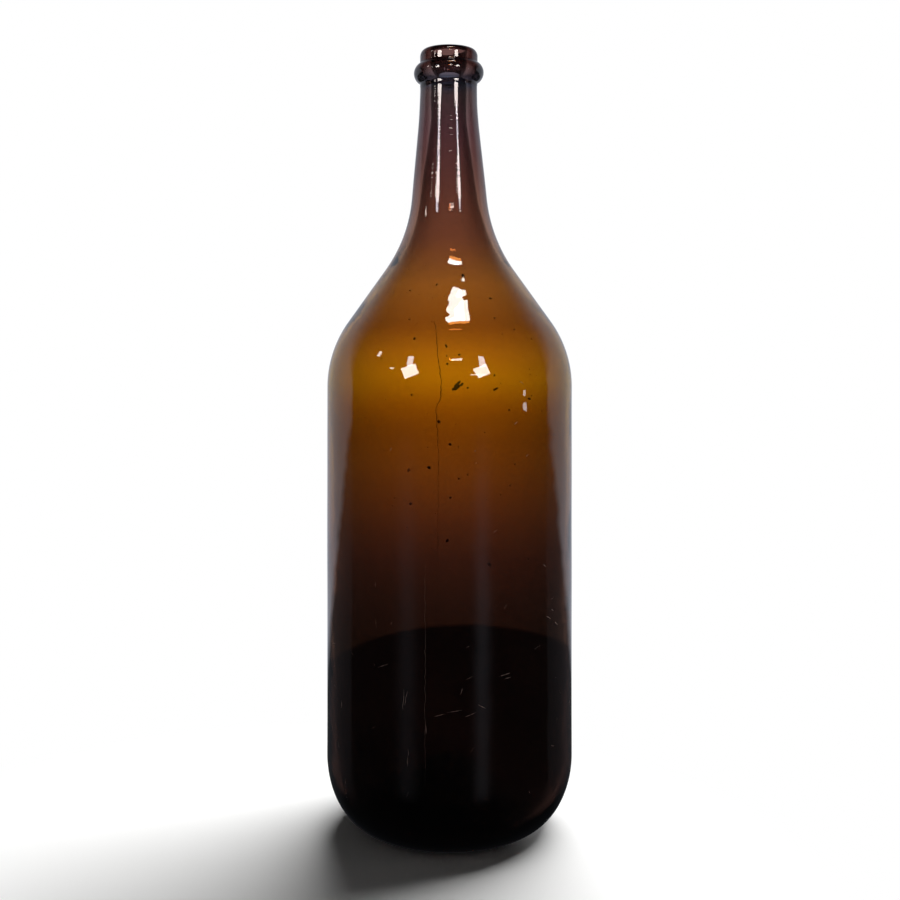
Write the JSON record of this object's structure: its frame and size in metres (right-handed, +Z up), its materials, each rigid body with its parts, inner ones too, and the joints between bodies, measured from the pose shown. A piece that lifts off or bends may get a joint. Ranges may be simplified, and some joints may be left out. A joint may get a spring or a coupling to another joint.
{
  "type": "blown glass bottle",
  "caption": "Large empty mouth-blown amber glass bottle: round body on a soft heel, steep shoulder, long tapering neck with a laid-on string ring under a plain lip, pushed-up base.",
  "frame": {"origin": "middle of the base on the resting plane, under the bottle's upright axis", "axes": "+Z up along the bottle's axis from the base to the mouth; -Y is the front, the side seen first; the string ring sits about 1 degree higher at +X"},
  "size_m": [0.145, 0.145, 0.458],
  "materials": {
    "amber_glass": "smooth fire-polished hand-blown glass, deep amber brown"
  },
  "bodies": {
    "root": {"bottle": "amber_glass"}
  },
  "joints": []
}
